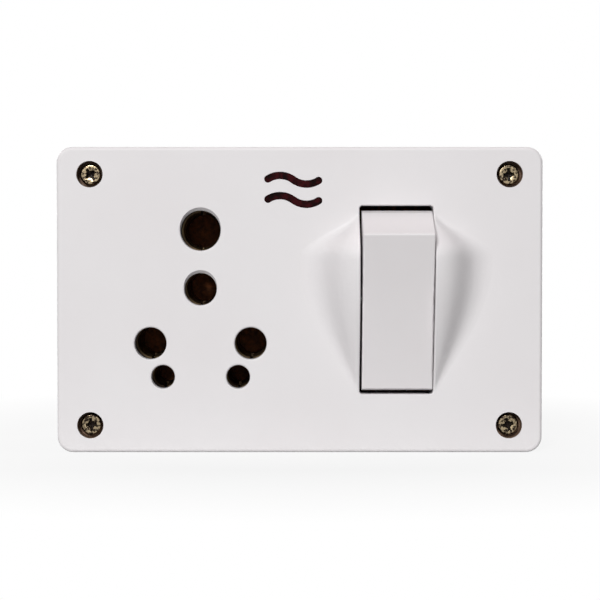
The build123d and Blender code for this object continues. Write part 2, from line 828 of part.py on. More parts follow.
# Open spring rings that grip the split ends of the sleeves
with BuildPart() as grip_rings:
    with BuildSketch(level(sleeve_top - grip_ring_drop)):
        for way in pin_ways:
            inner = sleeve_radius(way) + grip_ring_clearance
            with Locations((way.x, way.z)):
                Circle(inner + grip_ring_thickness)
                Circle(inner, mode=Mode.SUBTRACT)
                Rectangle(
                    inner + grip_ring_thickness,
                    grip_ring_gap,
                    align=(Align.MIN, Align.CENTER),
                    mode=Mode.SUBTRACT,
                )
    extrude(amount=-grip_ring_height)
grip_rings.part.label = "grip_rings"
export_step(grip_rings.part, "parts/grip_rings.step")

# Clamp screws of the three terminals
with BuildPart() as terminal_screws:
    with BuildSketch(level(terminal_back)):
        with Locations(*terminal_places):
            Circle(clamp_screw_radius)
    extrude(amount=clamp_screw_reach)
    with BuildSketch(level(terminal_back)):
        with Locations(*terminal_places):
            Circle(clamp_head_radius)
    extrude(amount=-clamp_head_height)
    with BuildSketch(level(terminal_back - clamp_head_height)):
        with Locations(*terminal_places):
            Rectangle(2 * clamp_head_radius, clamp_slot_width)
    extrude(amount=clamp_slot_depth, mode=Mode.SUBTRACT)
terminal_screws.part.label = "terminal_screws"
export_step(terminal_screws.part, "parts/terminal_screws.step")

# Rocker: a hollow key on a hub, with the plunger's tube behind it
with BuildPart() as rocker:
    extrude(rocker_outline(under_drop), amount=rocker_width / 2, both=True)
    ridge_edge = rocker.edges().filter_by(Axis.X).sort_by(Axis.Y)[0]
    fillet(ridge_edge, ridge_radius)
    face_edges = rocker.edges().filter_by(
        lambda edge: (edge @ 0.5).Y < -front and abs((edge @ 0.5).X - rocker_x) > rocker_width / 4
    )
    fillet(face_edges, rocker_edge_radius)
    extrude(
        rocker_outline(under_drop + 2 * rocker_wall, rocker_wall),
        amount=rocker_width / 2 - rocker_wall,
        both=True,
        mode=Mode.SUBTRACT,
    )
    with BuildSketch(side_view(rocker_x)):
        with Locations((0, pivot)):
            Circle(hub_radius)
    extrude(amount=rocker_width / 2 - rocker_wall / 2, both=True)
    with BuildSketch(tube_plane(0)):
        Circle(tube_radius)
    extrude(amount=tube_end)
    with BuildSketch(tube_plane(tube_bore_start)):
        Circle(tube_bore_radius)
    extrude(amount=tube_end - tube_bore_start, mode=Mode.SUBTRACT)
    with BuildSketch(side_view(rocker_x)):
        with Locations((0, pivot)):
            Circle(pivot_pin_radius + pivot_clearance)
    extrude(amount=rocker_width / 2, both=True, mode=Mode.SUBTRACT)
rocker.part.label = "rocker"
export_step(rocker.part, "parts/rocker.step")

# Pivot pin, held at both ends between the cover's ears and the base's keepers
with BuildPart() as pivot_pin:
    with BuildSketch(side_view(switch_x)):
        with Locations((0, pivot)):
            Circle(pivot_pin_radius)
    extrude(amount=opening_width / 2 + ear_thickness - pivot_pin_inset, both=True)
pivot_pin.part.label = "pivot_pin"
export_step(pivot_pin.part, "parts/pivot_pin.step")

# Plunger: a head that slides in the rocker's tube and a round nose
with BuildPart() as plunger:
    with BuildSketch(tube_plane(plunger_head_start)):
        Circle(tube_bore_radius - plunger_clearance)
    extrude(amount=plunger_head_end - plunger_head_start)
    with BuildSketch(tube_plane(plunger_head_end)):
        Circle(plunger_nose_radius)
    extrude(amount=plunger_tip - plunger_head_end - plunger_nose_radius)
    with Locations(tube_plane(plunger_tip - plunger_nose_radius)):
        Sphere(plunger_nose_radius)
plunger.part.label = "plunger"
export_step(plunger.part, "parts/plunger.step")

# Coil spring between the tube's floor and the plunger's head
with BuildPart() as plunger_spring:
    coil_start = tube_plane(tube_bore_start + spring_wire_radius + spring_end_clearance)
    coil_height = plunger_head_start - tube_bore_start - 2 * (spring_wire_radius + spring_end_clearance)
    with BuildLine() as coil:
        Helix(
            coil_height / spring_turns,
            coil_height,
            tube_bore_radius - spring_side_clearance - spring_wire_radius,
            center=coil_start.origin,
            direction=coil_start.z_dir,
        )
    with BuildSketch(Plane(origin=coil.line @ 0, z_dir=coil.line % 0)):
        Circle(spring_wire_radius)
    sweep(path=coil.line, is_frenet=True)
plunger_spring.part.label = "plunger_spring"
export_step(plunger_spring.part, "parts/plunger_spring.step")

# See-saw bar, tilted with its upper end on the fixed contact
tilt = math.radians(bar_tilt)
bar_plane = Plane(
    origin=(switch_x, -fulcrum, 0), x_dir=(0, math.sin(tilt), math.cos(tilt)), z_dir=(1, 0, 0)
)
bar_back = Plane(
    origin=(switch_x, -fulcrum, 0), x_dir=(1, 0, 0), z_dir=(0, -math.cos(tilt), math.sin(tilt))
)
with BuildPart() as moving_contact:
    with BuildSketch(bar_back):
        SlotOverall(bar_length, bar_width, rotation=90)
        with Locations((0, tip_reach)):
            Circle(tip_shank_radius + rivet_clearance, mode=Mode.SUBTRACT)
    extrude(amount=bar_thickness)
    with BuildSketch(bar_plane):
        Circle(fulcrum_radius + fulcrum_clearance)
    extrude(amount=bar_width / 2, both=True, mode=Mode.SUBTRACT)
moving_contact.part.label = "moving_contact"
export_step(moving_contact.part, "parts/moving_contact.step")

# Silver tip riveted through the bar
with BuildPart() as moving_tip:
    with BuildSketch(bar_back):
        with Locations((0, tip_reach)):
            Circle(tip_radius)
    extrude(amount=-moving_tip_height)
    with BuildSketch(bar_back):
        with Locations((0, tip_reach)):
            Circle(tip_shank_radius)
    extrude(amount=bar_thickness)
moving_tip.part.label = "moving_tip"
export_step(moving_tip.part, "parts/moving_tip.step")

# Strip from the fixed contact to the line contact's tongue
with BuildPart() as fixed_contact:
    with BuildSketch(level(floor_height)):
        with BuildLine():
            FilletPolyline(
                (switch_x, link_start_z),
                (switch_x, link_turn_z),
                (link_lane_x, link_turn_z),
                (link_lane_x, rivet_z),
                (link_end_x, rivet_z),
                radius=strip_width / 2 + strip_thickness,
            )
        trace(line_width=strip_width)
        with Locations((rivet_x, rivet_z)):
            Circle(rivet_radius + rivet_clearance, mode=Mode.SUBTRACT)
        with Locations((switch_x, tip_reach)):
            Circle(tip_shank_radius + rivet_clearance, mode=Mode.SUBTRACT)
    extrude(amount=strip_thickness)
fixed_contact.part.label = "fixed_contact"
export_step(fixed_contact.part, "parts/fixed_contact.step")

# Silver tip of the fixed contact
with BuildPart() as fixed_tip:
    with BuildSketch(level(floor_height)):
        with Locations((switch_x, tip_reach)):
            Circle(tip_shank_radius)
    extrude(amount=strip_thickness)
    with BuildSketch(level(floor_height + strip_thickness)):
        with Locations((switch_x, tip_reach)):
            Circle(tip_radius)
    extrude(amount=fixed_tip_height)
fixed_tip.part.label = "fixed_tip"
export_step(fixed_tip.part, "parts/fixed_tip.step")

# Incoming terminal: block, strip, the edge that the bar rocks on, and the bar's stop
with BuildPart() as live_terminal:
    with BuildSketch(level(floor_height)):
        with Locations((switch_x, live_terminal_z - terminal_size / 2)):
            Rectangle(
                strip_width,
                terminal_size / 2 - live_terminal_z + 2 * fulcrum_radius,
                align=(Align.CENTER, Align.MIN),
            )
    extrude(amount=strip_thickness)
    with BuildSketch(side_view(switch_x)):
        with Locations((0, fulcrum)):
            Circle(fulcrum_radius)
            Rectangle(2 * fulcrum_radius, fulcrum - floor_height, align=(Align.CENTER, Align.MAX))
    extrude(amount=strip_width / 2, both=True)
    with BuildSketch(level(floor_height)):
        with Locations((switch_x, -tip_reach)):
            Circle(tip_radius)
    extrude(amount=stop_top - floor_height)
    add(terminal_block(switch_x, live_terminal_z, floor_height))
live_terminal.part.label = "live_terminal"
export_step(live_terminal.part, "parts/live_terminal.step")

# Rivet through the strip and the line contact's tongue
with BuildPart() as link_rivet:
    with BuildSketch(level(floor_height)):
        with Locations((rivet_x, rivet_z)):
            Circle(rivet_radius)
    extrude(amount=strap_top - floor_height)
    with BuildSketch(level(strap_top)):
        with Locations((rivet_x, rivet_z)):
            Circle(rivet_head_radius)
    extrude(amount=rivet_head_height)
    with BuildSketch(level(floor_height)):
        with Locations((rivet_x, rivet_z)):
            Circle(rivet_head_radius)
    extrude(amount=-rivet_head_height)
link_rivet.part.label = "link_rivet"
export_step(link_rivet.part, "parts/link_rivet.step")

# Red lens: a flange behind the plate, with ribs that stand in the wave slots
with BuildPart() as indicator_lens:
    with BuildSketch(level(underside - lens_thickness)):
        with Locations((wave_x, wave_z)):
            RectangleRounded(lens_width, lens_span, lens_margin_z / 2)
            with GridLocations(peg_pitch, 0, 2, 1):
                Circle(peg_radius + lens_clearance, mode=Mode.SUBTRACT)
    extrude(amount=lens_thickness)
    extrude(wave_outline(underside, wave_stroke - 2 * lens_clearance), amount=lens_rib_height)
indicator_lens.part.label = "indicator_lens"
export_step(indicator_lens.part, "parts/indicator_lens.step")

# Neon lamp: a glass tube with round ends and short necks, lying along X
with BuildPart() as neon_lamp:
    with BuildSketch(side_view(wave_x)):
        with Locations((wave_z, lamp_height)):
            Circle(lamp_radius)
    extrude(amount=lamp_end - lamp_neck_length, both=True)
    fillet(neon_lamp.edges().filter_by(GeomType.CIRCLE), lamp_radius / 2)
    with BuildSketch(side_view(wave_x)):
        with Locations((wave_z, lamp_height)):
            Circle(lamp_neck_radius)
    extrude(amount=lamp_end, both=True)
neon_lamp.part.label = "neon_lamp"
export_step(neon_lamp.part, "parts/neon_lamp.step")

# Resistor in line with the lamp
with BuildPart() as lamp_resistor:
    with BuildSketch(side_view(resistor_x)):
        with Locations((wave_z, lamp_height)):
            Circle(resistor_radius)
    extrude(amount=resistor_length / 2, both=True)
    fillet(lamp_resistor.edges().filter_by(GeomType.CIRCLE), resistor_radius / 3)
lamp_resistor.part.label = "lamp_resistor"
export_step(lamp_resistor.part, "parts/lamp_resistor.step")

# Leads: from the lamp to the neutral tongue, from the lamp to the resistor, and on to the switch's strip
earth_well_edge = socket_x - sleeve_radius(earth_ways[0]) - well_clearance - well_wall
window_edge = terminal_x + terminal_size / 2 + terminal_clearance
lane_x = (earth_well_edge + window_edge) / 2
earth_well_top = earth_ways[0].z + sleeve_radius(earth_ways[0]) + well_clearance + well_wall
lane_z = earth_well_top + lead_gap + lead_radius
lane_height = floor_height + lead_radius + lead_clearance
neutral_lead_z = neutral_terminal_z - terminal_size / 2 - lead_radius - terminal_clearance
strip_level = lane_height + strip_thickness
lead_routes = [
    [
        (wave_x - lamp_end, -lamp_height, wave_z),
        (wave_x - lamp_end - lead_reach, -lamp_height, wave_z),
        (wave_x - lamp_end - lead_reach, -lane_height, wave_z),
        (socket_x, -lane_height, lane_z),
        (lane_x, -lane_height, lane_z),
        (lane_x, -lane_height, neutral_lead_z),
        (terminal_x + strip_width / 3, -lane_height, neutral_lead_z),
    ],
    [
        (resistor_end, -lamp_height, wave_z),
        (resistor_end + lead_reach, -lamp_height, wave_z),
        (resistor_end + lead_reach, -strip_level, wave_z),
        (resistor_end + lead_reach, -strip_level, link_turn_z),
    ],
]
with BuildPart() as lamp_leads:
    with BuildSketch(side_view(wave_x + lamp_end)):
        with Locations((wave_z, lamp_height)):
            Circle(lead_radius)
    extrude(amount=resistor_gap)
    for route in lead_routes:
        with BuildLine() as lead:
            FilletPolyline(*route, radius=lead_bend)
        with BuildSketch(Plane(origin=lead.line @ 0, z_dir=lead.line % 0)):
            Circle(lead_radius)
        sweep(path=lead.line)
lamp_leads.part.label = "lamp_leads"
export_step(lamp_leads.part, "parts/lamp_leads.step")
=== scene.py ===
# %% [markdown]
# # A switch and socket unit on a white table
# The unit is a white moulded box with a six-hole socket on the left and a tall piano-type rocker switch on
# the right. Its solids are already drawn, with every size settled, so this lesson doesn't model the box
# again. It gives each solid its finish, models the pieces that small detail makes real, and sets up light
# and camera. The frame is loaded first, and its box is kept and printed.

# %% Load the frame
import math

import bpy
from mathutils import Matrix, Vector


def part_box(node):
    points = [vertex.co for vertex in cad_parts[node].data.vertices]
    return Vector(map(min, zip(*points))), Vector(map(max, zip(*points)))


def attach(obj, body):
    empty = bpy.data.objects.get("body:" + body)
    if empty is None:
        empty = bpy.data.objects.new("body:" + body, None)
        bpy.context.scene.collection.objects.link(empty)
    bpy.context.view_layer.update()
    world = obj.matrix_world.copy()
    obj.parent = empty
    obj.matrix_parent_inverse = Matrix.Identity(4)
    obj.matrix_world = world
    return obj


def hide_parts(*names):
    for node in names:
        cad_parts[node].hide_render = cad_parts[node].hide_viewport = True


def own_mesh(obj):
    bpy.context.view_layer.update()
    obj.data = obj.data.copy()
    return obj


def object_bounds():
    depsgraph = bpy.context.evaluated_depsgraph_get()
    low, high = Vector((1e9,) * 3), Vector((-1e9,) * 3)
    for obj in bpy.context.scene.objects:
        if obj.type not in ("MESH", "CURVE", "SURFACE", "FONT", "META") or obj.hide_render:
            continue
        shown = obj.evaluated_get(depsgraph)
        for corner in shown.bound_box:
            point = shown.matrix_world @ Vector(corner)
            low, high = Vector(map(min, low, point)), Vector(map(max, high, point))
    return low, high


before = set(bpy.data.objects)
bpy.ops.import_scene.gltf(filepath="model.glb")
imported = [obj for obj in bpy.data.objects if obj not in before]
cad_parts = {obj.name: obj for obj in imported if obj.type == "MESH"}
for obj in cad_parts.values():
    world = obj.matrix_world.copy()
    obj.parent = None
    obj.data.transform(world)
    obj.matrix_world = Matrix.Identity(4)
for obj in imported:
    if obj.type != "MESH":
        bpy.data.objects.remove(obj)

MM = 0.001
scene = bpy.context.scene
cad_low, cad_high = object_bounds()
print("CAD box in mm:", [round((high - low) / MM, 1) for low, high in zip(cad_low, cad_high)])


# %% [markdown]
# ## The camera
# A catalogue photograph of a wall unit is taken from straight in front, with a long lens, so that the edges
# stay parallel. The unit is 123 mm wide and fills 486 of the picture's 600 pixels, which gives the width of
# the view at the plate. The lens follows from that width and the distance. A short lens close up would also
# fill the frame, but the rocker's raised end would then lean outwards.

# %% Camera in front of the plate
PICTURE_PX = 600
PX_PER_MM = 3.95
CAMERA_DISTANCE = 0.45
CAMERA_ELEVATION = math.radians(1.7)
SENSOR_WIDTH_MM = 36.0
PLATE_FRONT_Y = -44 * MM
AIM_X = 0.1 * MM

view_width = PICTURE_PX / PX_PER_MM * MM
aim = Vector((AIM_X, PLATE_FRONT_Y, 0.0))
towards_camera = Vector((0.0, -math.cos(CAMERA_ELEVATION), math.sin(CAMERA_ELEVATION)))

bpy.ops.object.select_all(action="DESELECT")
bpy.ops.object.camera_add(location=aim + towards_camera * CAMERA_DISTANCE)
camera = bpy.context.object
camera.name = "front_camera"
camera.rotation_euler = (-towards_camera).to_track_quat("-Z", "Y").to_euler()
camera.data.sensor_width = SENSOR_WIDTH_MM
camera.data.lens = SENSOR_WIDTH_MM * CAMERA_DISTANCE / view_width
scene.camera = camera
print("view", round(view_width / MM, 1), "mm wide, lens", round(camera.data.lens, 1), "mm")


# %% [markdown]
# ## Small helpers for materials
# Colours are easiest to read as the hex values of a paint chart, but Blender's shaders count in linear light,
# so one function turns the first into the second. Another adds a node, sets it up and links it in one line,
# which keeps each material as short as the list of things that it does. The third starts a material, and
# the fourth opens one again, to lay painted shade and dirt over the colour that it has so far.

# %% Helpers for colours, nodes and materials
def linear(hex_colour):
    """Turns an sRGB hex colour into the linear RGBA values that the shaders use."""
    channels = [int(hex_colour[i:i + 2], 16) / 255 for i in (1, 3, 5)]
    return [c / 12.92 if c <= 0.04045 else ((c + 0.055) / 1.055) ** 2.4 for c in channels] + [1.0]


def lay(tree, kind, inputs=None, **settings):
    """Adds a node with its settings, and fills its inputs with values or with other nodes' outputs."""
    node = tree.nodes.new(kind)
    for name, value in settings.items():
        setattr(node, name, value)
    for key, value in (inputs or {}).items():
        if isinstance(value, bpy.types.NodeSocket):
            tree.links.new(value, node.inputs[key])
        else:
            node.inputs[key].default_value = value
    return node


def start_finish(name):
    """Starts a material, and returns it with its node tree, its shader and the place of each point."""
    finish = bpy.data.materials.new(name)
    finish.use_nodes = True
    tree = finish.node_tree
    place = lay(tree, "ShaderNodeTexCoord").outputs["Object"]
    return finish, tree, tree.nodes["Principled BSDF"], place


def reopen_finish(finish):
    """Returns a material's node tree, its shader, the place of each point and the colour it has so far."""
    tree = finish.node_tree
    shader = tree.nodes["Principled BSDF"]
    place = lay(tree, "ShaderNodeTexCoord").outputs["Object"]
    return tree, shader, place, shader.inputs["Base Color"].links[0].from_socket


print("white in linear light:", [round(v, 3) for v in linear("#E6E4E5")])


# %% [markdown]
# ## Table, background and light
# The unit stands on a pale table in front of a white background. The main soft box is well in front, above the
# unit and a little to its left, so the flat plate is lit evenly while the raised cheeks shade from light to
# dark.
# A faint one straight ahead reaches into the pin holes. A weak box overhead hangs a little behind the plate,
# so that it picks out the top end of the key more than the cheeks. Two boxes behind light the sides and the
# back. The room itself adds hardly any light, because light from everywhere would wash the cheeks out.
# A white background could be had by pouring on more light, but the white moulding would then lose its
# shading. So the camera is shown white where it looks at the table or past it, while the light that falls on
# the unit stays at a plain level. Gloss and glass are shown the same white, and a share of the table keeps
# its shadow. The table's own paint is pale under the unit and greyer in front of it, so that only a little
# light comes back up onto the plate's lower edge.

# %% Table and its paint
TABLE_SIZE = 4.0
TABLE_GAP = 0.02 * MM
PALE_PAINT, PALE_FROM_Y = "#B8B8B8", -50 * MM
GREY_PAINT, GREY_FROM_Y = "#606060", -80 * MM

bpy.ops.object.select_all(action="DESELECT")
bpy.ops.mesh.primitive_plane_add(size=TABLE_SIZE, location=(0.0, 0.0, cad_low[2] - TABLE_GAP))
table = bpy.context.object
table.name = "table_top"
# Matt painted board, which takes a soft shadow and shows no gloss
table_paint, tree, shader, spot = start_finish("white_table_top")
shader.inputs["Roughness"].default_value = 0.9
nearer = lay(tree, "ShaderNodeMapRange", {"Value": lay(tree, "ShaderNodeSeparateXYZ", {0: spot}).outputs["Y"],
                                          "From Min": GREY_FROM_Y, "From Max": PALE_FROM_Y})
# A Mix node takes its share at input 0 and its two colours at 6 and 7, and gives their mix at output 2
paper = lay(tree, "ShaderNodeMix", {0: nearer.outputs[0], 6: linear(GREY_PAINT), 7: linear(PALE_PAINT)},
            data_type="RGBA")
tree.links.new(paper.outputs[2], shader.inputs["Base Color"])
table.data.materials.append(table_paint)
print("table at z =", round(table.location.z / MM, 2), "mm")

# %% Show the table white, but for a share of its shadow
TABLE_SHADOW_SHARE = 0.12
SHADOW_REACH = 160 * MM


def shown_to_eye(tree):
    """Gives 1 for rays from the camera, by way of gloss or glass too, and 0 for light that falls on things."""
    paths = lay(tree, "ShaderNodeLightPath")
    seen = paths.outputs["Is Camera Ray"]
    for ray in ("Is Glossy Ray", "Is Transmission Ray"):
        seen = lay(tree, "ShaderNodeMath", {0: seen, 1: paths.outputs[ray]}, operation="MAXIMUM").outputs[0]
    return seen


reach = lay(tree, "ShaderNodeVectorMath", {0: spot}, operation="LENGTH")
white = lay(tree, "ShaderNodeMapRange", {"Value": reach.outputs["Value"], "From Min": SHADOW_REACH / 2,
                                         "From Max": SHADOW_REACH, "To Min": 1 - TABLE_SHADOW_SHARE})
share = lay(tree, "ShaderNodeMath", {0: shown_to_eye(tree), 1: white.outputs[0]}, operation="MULTIPLY")
glow = lay(tree, "ShaderNodeEmission", {"Color": linear("#FFFFFF"), "Strength": 1.0})
blend = lay(tree, "ShaderNodeMixShader", {0: share.outputs[0], 1: shader.outputs[0], 2: glow.outputs[0]})
tree.links.new(blend.outputs[0], tree.nodes["Material Output"].inputs["Surface"])
print("shadow kept within", round(SHADOW_REACH / MM), "mm")

# %% White background and soft room light
ROOM_LIGHT = 0.02

scene.view_settings.view_transform = "Standard"
world = bpy.data.worlds.new("white_room")
scene.world = world
world.use_nodes = True
tree = world.node_tree
strength = lay(tree, "ShaderNodeMapRange", {"Value": shown_to_eye(tree), "To Min": ROOM_LIGHT, "To Max": 1.0})
tree.nodes["Background"].inputs["Color"].default_value = linear("#FFFFFF")
tree.links.new(strength.outputs[0], tree.nodes["Background"].inputs["Strength"])
print("room light", ROOM_LIGHT)

# %% Soft boxes
# Each has a place and a width in metres, a power in watts and a colour
SOFT_BOXES = {
    "key_soft_box": ((-0.321, -1.647, 0.753), 0.60, 29.5, "#FFFFFF"),
    "front_soft_box": ((0.00, -1.25, 0.10), 0.35, 0.15, "#FFFFFF"),
    "overhead_soft_box": ((0.00, 0.10, 1.20), 0.40, 2.3, "#FFECEF"),
    "left_back_soft_box": ((-0.80, 1.00, 0.28), 0.90, 8.0, "#FFFFFF"),
    "right_back_soft_box": ((0.80, 1.00, 0.28), 0.90, 8.0, "#FFFFFF"),
}
for name, (place, size, power, colour) in SOFT_BOXES.items():
    bpy.ops.object.select_all(action="DESELECT")
    bpy.ops.object.light_add(type="AREA", location=place)
    lamp = bpy.context.object
    lamp.name = name
    lamp.rotation_euler = (aim - Vector(place)).to_track_quat("-Z", "Y").to_euler()
    lamp.data.shape = "DISK"
    lamp.data.size = size
    lamp.data.energy = power
    lamp.data.color = linear(colour)[:3]
    print(name, power, "W")


# %% [markdown]
# ## White moulding
# The cover and the box are pressed from white urea, a hard thermoset with a half-gloss skin copied from the
# polished mould. It isn't one flat white: the powder flows unevenly and leaves faint clouds, a few
# centimetres wide, and the skin has a barely visible orange peel. The rocker is moulded in a tougher plastic
# that is a shade lighter. An image could carry all this, but noise in Object coordinates has no seams and
# stays sharp close up. The cover's own finish darkens its four screw wells by depth and radius, as painted
# shade with some dust in it. A dark hairline is also painted where the cover meets the box, all the way
# round the sides, as painted shade in the seam with some dust.

# %% White moulded finishes
MOULDED_ROUGHNESS = 0.5
HANDLED_MM = 6.0
PEEL_MM = 0.8
PEEL_HEIGHT = 0.03 * MM


def moulded_white(name, clear, clouded, cloud_mm):
    """A half-gloss white moulding: faint clouds in the colour, and a skin with fine orange peel."""
    finish, tree, shader, place = start_finish(name)
    clouds = lay(tree, "ShaderNodeTexNoise", {"Vector": place, "Scale": 1 / (cloud_mm * MM), "Detail": 3.0})
    tint = lay(tree, "ShaderNodeMix", {0: clouds.outputs["Fac"], 6: linear(clear), 7: linear(clouded)},
               data_type="RGBA")
    tree.links.new(tint.outputs[2], shader.inputs["Base Color"])
    handled = lay(tree, "ShaderNodeTexNoise", {"Vector": place, "Scale": 1 / (HANDLED_MM * MM), "Detail": 4.0})
    sheen = lay(tree, "ShaderNodeMapRange", {"Value": handled.outputs["Fac"], "From Min": 0.3, "From Max": 0.7,
                                             "To Min": MOULDED_ROUGHNESS - 0.03,
                                             "To Max": MOULDED_ROUGHNESS + 0.04})
    tree.links.new(sheen.outputs[0], shader.inputs["Roughness"])
    peel = lay(tree, "ShaderNodeTexNoise", {"Vector": place, "Scale": 1 / (PEEL_MM * MM), "Detail": 2.0})
    skin = lay(tree, "ShaderNodeBump", {"Height": peel.outputs["Fac"], "Strength": 0.12,
                                        "Distance": PEEL_HEIGHT})
    tree.links.new(skin.outputs[0], shader.inputs["Normal"])
    shader.inputs["IOR"].default_value = 1.5
    shader.inputs["Specular IOR Level"].default_value = 0.25
    print(name, clear, "with clouds", clouded)
    return finish


# Pressed urea: a quiet, slightly warm white with a soft sheen
white_urea = moulded_white("white_urea_moulding", "#E7E5E6", "#E2DEDF", 28.0)
white_cover_urea = moulded_white("white_urea_cover", "#E7E5E6", "#E2DEDF", 28.0)
# Polycarbonate: the same sheen, a shade lighter
white_key_plastic = moulded_white("white_polycarbonate_key", "#E8E5E6", "#E3DFE0", 22.0)

# %% Painted shade and grime in the cover's screw wells
SCREW_X = 53.1 * MM
SCREW_Z = 31.8 * MM
WELL_RADIUS = 3.35 * MM
PAST_THE_WALL = 1.03
WELL_SHADE_STARTS, WELL_SHADE_FULL = 0.15 * MM, 1.0 * MM

tree, shader, place, clean = reopen_finish(white_cover_urea)
corner = lay(tree, "ShaderNodeVectorMath", {0: place}, operation="ABSOLUTE")
corner = lay(tree, "ShaderNodeVectorMath", {0: corner.outputs[0], 1: (SCREW_X, 0.0, SCREW_Z)},
             operation="SUBTRACT")
corner = lay(tree, "ShaderNodeVectorMath", {0: corner.outputs[0], 1: (1.0, 0.0, 1.0)}, operation="MULTIPLY")
radius = lay(tree, "ShaderNodeVectorMath", {0: corner.outputs[0]}, operation="LENGTH").outputs["Value"]
inside = lay(tree, "ShaderNodeMath", {0: radius, 1: WELL_RADIUS * PAST_THE_WALL}, operation="LESS_THAN")
depth = lay(tree, "ShaderNodeSeparateXYZ", {0: place}).outputs["Y"]
shaded_by_depth = lay(tree, "ShaderNodeMapRange", {"Value": depth, "From Min": PLATE_FRONT_Y + WELL_SHADE_STARTS,
                                        "From Max": PLATE_FRONT_Y + WELL_SHADE_FULL})
well_shade_and_grime = lay(tree, "ShaderNodeMath", {0: inside.outputs[0], 1: shaded_by_depth.outputs[0]}, operation="MULTIPLY")
# Painted shade: the wells turn dark brown with depth, standing in for the shade in them, with some dust too
shade_and_grime_colour = lay(tree, "ShaderNodeMix", {0: well_shade_and_grime.outputs[0], 6: clean, 7: linear("#7A604E")}, data_type="RGBA")
tree.links.new(shade_and_grime_colour.outputs[2], shader.inputs["Base Color"])
print("painted shade and grime in wells of radius", round(WELL_RADIUS / MM, 2), "mm")

# %% Painted seam shade and dust in the joint of cover and box
JOINT_Y = -31 * MM
JOINT_HALF_WIDTH = 0.12 * MM

for finish in (white_cover_urea, white_urea):
    tree, shader, place, clean = reopen_finish(finish)
    depth = lay(tree, "ShaderNodeSeparateXYZ", {0: place}).outputs["Y"]
    at_joint = lay(tree, "ShaderNodeMath", {0: depth, 1: JOINT_Y, 2: JOINT_HALF_WIDTH}, operation="COMPARE")
    # Painted shade: a dark hairline stands in for the shade of the seam, with some dust
    seam_shade_and_dust = lay(tree, "ShaderNodeMix", {0: at_joint.outputs[0], 6: clean, 7: linear("#7C7775")},
                data_type="RGBA")
    tree.links.new(seam_shade_and_dust.outputs[2], shader.inputs["Base Color"])
print("painted seam shade and dust line at y =", round(JOINT_Y / MM, 1), "mm")


# %% [markdown]
# ## Brown phenolic
# The base behind the plate is pressed from brown phenolic powder, the usual insulator in such units. Wood
# flour in the powder shows as a fine mottle, and the surface is duller than the cover's. Seen through the pin
# holes it is what makes them read as dark brown wells.

# %% Phenolic moulding
# Wood flour is finer than this, but drawn finer the mottle wouldn't show
MOTTLE_MM = 1.6

phenolic, tree, shader, place = start_finish("brown_phenolic_moulding")
mottle = lay(tree, "ShaderNodeTexNoise", {"Vector": place, "Scale": 1 / (MOTTLE_MM * MM), "Detail": 5.0,
                                          "Roughness": 0.6})
spread = lay(tree, "ShaderNodeMapRange", {"Value": mottle.outputs["Fac"], "From Min": 0.32, "From Max": 0.68})
tint = lay(tree, "ShaderNodeMix", {0: spread.outputs[0], 6: linear("#5A3016"), 7: linear("#A4633A")},
           data_type="RGBA")
tree.links.new(tint.outputs[2], shader.inputs["Base Color"])
dull = lay(tree, "ShaderNodeMapRange", {"Value": mottle.outputs["Fac"], "To Min": 0.42, "To Max": 0.66})
tree.links.new(dull.outputs[0], shader.inputs["Roughness"])
grain = lay(tree, "ShaderNodeBump", {"Height": mottle.outputs["Fac"], "Strength": 0.2, "Distance": 0.04 * MM})
tree.links.new(grain.outputs[0], shader.inputs["Normal"])
shader.inputs["IOR"].default_value = 1.6
shader.inputs["Specular IOR Level"].default_value = 0.1
print(phenolic.name)


# %% [markdown]
# ## Metals
# Four kinds of metal do the work inside: brass strip for the contacts, gone brown with age, bright zinc on
# the small screws and the pin, blued spring steel, and silver on the two contact tips. The lamp's leads are
# tinned copper. The cover screws outside are yellow passivated zinc. Their shanks are still pale straw, while
# the heads have dulled brown in streaks, and their recess goes near black with depth, as painted shade with
# grime. What tells metals apart is not only colour: strip shows the lines of rolling, turned pieces are
# smoother, and all of them dull in patches. One function takes the fresh and the dulled colour, the size and
# sharpness of the patches, and the direction of the lines. Real lines are a few hundredths of a millimetre
# apart, so they are drawn coarser, to show.

# %% Metal finishes
def worn_metal(name, fresh, dulled, patch_mm, rough, line_stretch=(1.0, 1.0, 1.0), line_mm=0.5,
               patch_edge=0.15):
    """A metal that dulls in patches, with fine lines along the direction it was rolled or turned."""
    finish, tree, shader, place = start_finish(name)
    patches = lay(tree, "ShaderNodeTexNoise", {"Vector": place, "Scale": 1 / (patch_mm * MM), "Detail": 4.0,
                                               "Roughness": 0.6})
    spread = lay(tree, "ShaderNodeMapRange", {"Value": patches.outputs["Fac"], "From Min": 0.5 - patch_edge,
                                              "From Max": 0.5 + patch_edge})
    tint = lay(tree, "ShaderNodeMix", {0: spread.outputs[0], 6: linear(fresh), 7: linear(dulled)},
               data_type="RGBA")
    tree.links.new(tint.outputs[2], shader.inputs["Base Color"])
    along = lay(tree, "ShaderNodeMapping", {"Vector": place, "Scale": line_stretch})
    lines = lay(tree, "ShaderNodeTexNoise", {"Vector": along.outputs[0], "Scale": 1 / (line_mm * MM),
                                             "Detail": 3.0})
    dull = lay(tree, "ShaderNodeMapRange", {"Value": lines.outputs["Fac"], "From Min": 0.25, "From Max": 0.75,
                                            "To Min": rough - 0.08, "To Max": rough + 0.1})
    tree.links.new(dull.outputs[0], shader.inputs["Roughness"])
    ridges = lay(tree, "ShaderNodeBump", {"Height": lines.outputs["Fac"], "Strength": 0.15,
                                          "Distance": 0.02 * MM})
    tree.links.new(ridges.outputs[0], shader.inputs["Normal"])
    shader.inputs["Metallic"].default_value = 1.0
    print(name, fresh, "dulled to", dulled)
    return finish


# Rolled strip: a brown gleam, streaked along the strip
rolled_brass = worn_metal("rolled_brass_strip", "#6A5A42", "#3C3028", 5.0, 0.38, (1.0, 1.0, 0.12), 0.3)
